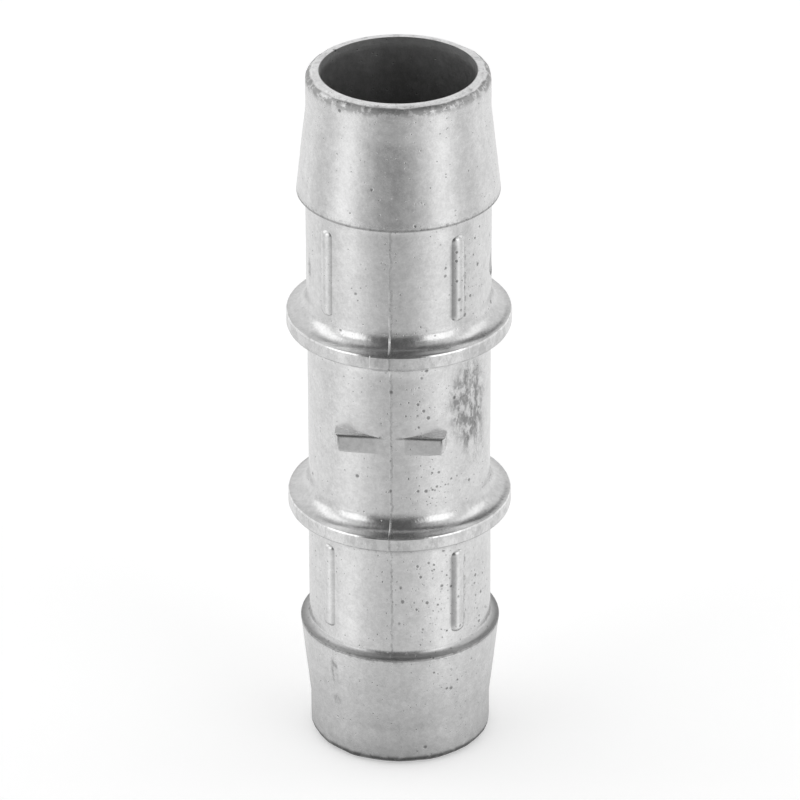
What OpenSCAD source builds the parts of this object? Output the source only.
// Straight hose barb coupler, die cast in one piece.
// It joins the ends of two hoses: each is pushed over a barb and clamped on the neck behind it.
// The bore runs along Z, and the origin is on its axis at mid length.
// The two die halves pull apart along X and meet in the plane X = 0. The cores pull along Z.

/* [Hose] */
// Inside diameter of the hose, which is also the outside diameter of the necks
hose_d = 25.4; // [20:0.1:40]
// Wall of the casting at the necks
neck_wall = 2.03; // [1.6:0.01:3.5]

/* [Middle] */
// Length between the inner faces of the two flanges
mid_len = 25.8; // [14:0.2:60]
// How far the surface of the middle lies under that of the necks
mid_step = 0.09; // [0:0.01:0.4]

/* [Flanges] */
// Thickness of each flange, which stops the end of a hose
flange_t = 2.1; // [1:0.1:5]
// Height of the flanges above the necks
flange_h = 2.8; // [2:0.1:6]
// Radius of the fillets on both sides of each flange
flange_fillet = 2.5; // [0.5:0.1:4]
// Radius of the edges of the rims
flange_edge = 0.25; // [0.1:0.05:0.45]

/* [Barbs] */
// Length of each neck, from the flange to the shoulder of the barb
neck_len = 17.9; // [11:0.1:40]
// Height of the barb's crest above the neck
barb_h = 1.25; // [0.8:0.05:3]
// Length of the cone from the crest to the land at the tip
taper_len = 12.3; // [5:0.1:30]
// Length of the straight land at the tip, with its rounded edge
land_len = 5.3; // [2:0.1:12]
// Gap between the land and the hose, which lets the tip start in straight
tip_gap = 0.12; // [0:0.01:0.5]
// Radius of the outer edge of the tip
tip_edge = 1.0; // [0.2:0.05:1.6]
// Radius of the crest
crest_edge = 0.2; // [0.05:0.05:0.3]
// Radius of the fillet between the neck and the shoulder
shoulder_fillet = 1.2; // [0.2:0.1:2]

/* [Ribs] */
// Angle of each rib from the parting plane
rib_angle = 45; // [25:1:65]
// Width of a rib where it meets the neck
rib_w = 2.2; // [1:0.1:4]
// Height of a rib above the neck
rib_h = 0.4; // [0.2:0.05:0.8]
// Bare length of neck between the flange and the ribs
rib_flange_gap = 2.7; // [1:0.1:5]
// Bare length of neck between the ribs and the shoulder
rib_barb_gap = 2.4; // [1.2:0.1:5]

/* [Pad] */
// Length of the flat face on the front of the middle
pad_len = 14.1; // [6:0.1:18]
// Height of the pad along the bore
pad_h = 2.4; // [1:0.1:6]
// Draft angle of the two ends of the pad
pad_draft = 15; // [2:1:20]
// Draft angle of the two long sides of the pad
pad_side_draft = 5; // [1:1:20]
// Radius of the lower corners of the pad
pad_corner = 0.9; // [0.2:0.05:1.2]

/* [Casting marks] */
// Width of the ridge that is left along the parting line
parting_w = 0.3; // [0.1:0.05:0.8]
// Height of that ridge
parting_h = 0.08; // [0.03:0.01:0.15]
// Diameter of the flat mark that an ejector pin leaves on one neck
pin_mark_d = 3.8; // [2:0.1:5]
// Depth of the mark where the neck stands highest
pin_mark_depth = 0.18; // [0.05:0.01:0.4]
// Distance from the flange to the centre of the mark
pin_mark_gap = 7.4; // [3:0.1:8]

/* [Hidden] */
$fn = 180;
overlap = 1;
tuck = 0.2;
corner_out = 0.15;
shoulder_flat = 0.12;
edge_share = 0.8;
metal = [0.77, 0.77, 0.76];

neck_r = hose_d / 2;
bore_r = neck_r - neck_wall;
mid_r = neck_r - mid_step;
flange_r = neck_r + flange_h;
crest_r = neck_r + barb_h;
land_r = neck_r - tip_gap;

flange_z = mid_len / 2;
neck_z = flange_z + flange_t;
shoulder_z = neck_z + neck_len;
land_z = shoulder_z + taper_len;
tip_z = land_z + land_len;

taper = atan((crest_r - land_r) / taper_len);
crest_x = crest_r - crest_edge * (1 + sin(taper)) / cos(taper);
crest_z = shoulder_z + crest_edge;
shoulder_round = min(shoulder_fillet, crest_x - neck_r - shoulder_flat);
ridge_end = crest_x - shoulder_flat / 2;

// Radius of a round bar that stands h high and w wide on a cylinder of radius r
function bar_radius(w, h, r) =
    let (rise = h + r - sqrt(r * r - w * w / 4)) (rise * rise + w * w / 4) / (2 * rise);

// Depth below the tangent plane at which a drafted end meets a cylinder of radius r
function draft_depth(half, slope, r) =
    let (a = 1 + slope * slope, b = r - half * slope) (b - sqrt(b * b - a * half * half)) / a;

// Fills an inside corner at the origin, open towards +X and +Y, up to a radius
module corner_fill(radius) {
    difference() {
        translate([-tuck, -tuck]) square(radius + tuck);
        translate([radius, radius]) circle(radius);
    }
}

// Cuts an outside corner at the origin, solid towards -X and -Y, down to a radius
module corner_cut(radius) {
    translate([-radius, -radius]) difference() {
        square(radius + overlap);
        circle(radius);
    }
}

// Half outline of a flange and its neck, with all surfaces moved outwards by grow
module shank_outline(grow) {
    fillet = min(flange_fillet, flange_h - flange_edge) - grow;
    edge = flange_edge + grow;
    low = flange_z - grow;
    high = neck_z + grow;
    end = shoulder_z - grow;
    difference() {
        translate([0, low]) square([flange_r + grow, high - low]);
        translate([flange_r + grow, high]) corner_cut(edge);
        translate([flange_r + grow, low]) mirror([0, 1]) corner_cut(edge);
    }
    translate([0, flange_z]) square([neck_r + grow, end - flange_z + tuck]);
    translate([neck_r + grow, high]) corner_fill(fillet);
    translate([mid_r + grow, low]) mirror([0, 1]) corner_fill(fillet);
    translate([neck_r + grow, end]) mirror([0, 1]) corner_fill(shoulder_round - grow);
    translate([0, end]) square([ridge_end, grow + tuck]);
}

// Half outline of the barb: shoulder, rounded crest, cone, land and rounded tip
module barb_outline() {
    translate([crest_x, crest_z]) circle(crest_edge);
    difference() {
        polygon([
            [0, shoulder_z],
            [crest_x, shoulder_z],
            [crest_x + crest_edge * cos(taper), crest_z + crest_edge * sin(taper)],
            [land_r, land_z],
            [land_r, tip_z],
            [0, tip_z],
        ]);
        translate([land_r, tip_z]) corner_cut(min(tip_edge, (land_r - bore_r) * edge_share));
    }
}

// Outline of the middle with both shanks
module shanks_outline(grow = 0) {
    translate([0, -flange_z]) square([mid_r + grow, mid_len]);
    for (end = [0, 1]) mirror([0, end]) shank_outline(grow);
}

// The turned form, solid, before the cores and marks
module turned_form() {
    rotate_extrude() {
        shanks_outline();
        for (end = [0, 1]) mirror([0, end]) barb_outline();
    }
}

// Ridge that follows the parting line, front and back, and ends on the flats of the shoulders
module parting_ridge() {
    intersection() {
        rotate_extrude() shanks_outline(parting_h);
        cube([parting_w, 2 * (flange_r + overlap), 2 * (shoulder_z + overlap)], center = true);
    }
}

// Round bar with ball ends that lies along Z, centred on the origin
module bar(radius, straight) {
    rotate_extrude() intersection() {
        union() {
            translate([0, -straight / 2]) square([radius, straight]);
            for (side = [-1, 1]) translate([0, side * straight / 2]) circle(radius);
        }
        translate([0, -straight]) square([radius + overlap, 2 * straight]);
    }
}

// Four ribs around the upper neck, two on each side of the parting plane
module neck_ribs() {
    radius = bar_radius(rib_w, rib_h, neck_r);
    axis_r = neck_r + rib_h - radius;
    cap = sqrt(radius * radius - (neck_r - axis_r) * (neck_r - axis_r));
    low = neck_z + rib_flange_gap;
    high = shoulder_z - rib_barb_gap;
    for (seam = [90, 270], side = [-1, 1])
        rotate(seam + side * rib_angle)
            translate([axis_r, 0, (low + high) / 2])
                bar(radius, high - low - 2 * cap);
}

// Block that widens from its face, w wide, by the slope of its sides down to the axis
module drafted_block(w, slope, length) {
    linear_extrude(length, center = true)
        polygon([
            [-w / 2, -mid_r],
            [w / 2, -mid_r],
            [w / 2 + slope * mid_r, 0],
            [-w / 2 - slope * mid_r, 0],
        ]);
}

// Raised flat pad on the front, in the tangent plane, with four drafted sides.
// The corner arcs start just outside the foot, so that they run into the drafted sides.
module pad() {
    end_slope = tan(pad_draft);
    side_slope = tan(pad_side_draft);
    depth = draft_depth(pad_len / 2, end_slope, mid_r);
    foot_x = pad_len / 2 + end_slope * depth + corner_out;
    foot_z = pad_h / 2 + side_slope * depth + corner_out;
    intersection() {
        drafted_block(pad_len, end_slope, 2 * mid_r);
        rotate([0, 90, 0]) drafted_block(pad_h, side_slope, 2 * mid_r);
        rotate([90, 0, 0])
            linear_extrude(mid_r + overlap)
                difference() {
                    translate([-foot_x, -foot_z - overlap]) square([2 * foot_x, 2 * (foot_z + overlap)]);
                    for (end = [0, 1])
                        mirror([end, 0])
                            translate([foot_x, -foot_z])
                                mirror([0, 1])
                                    corner_cut(pad_corner);
                }
    }
}

// Flat mark of an ejector pin on the side of the upper neck
module pin_mark() {
    translate([neck_r - pin_mark_depth, 0, neck_z + pin_mark_gap])
        rotate([0, 90, 0])
            cylinder(d = pin_mark_d, h = overlap);
}

module coupler_body() {
    color(metal)
        difference() {
            union() {
                turned_form();
                parting_ridge();
                pad();
                for (end = [0, 1]) mirror([0, 0, end]) neck_ribs();
            }
            cylinder(r = bore_r, h = 2 * (tip_z + overlap), center = true);
            pin_mark();
        }
}

coupler_body();
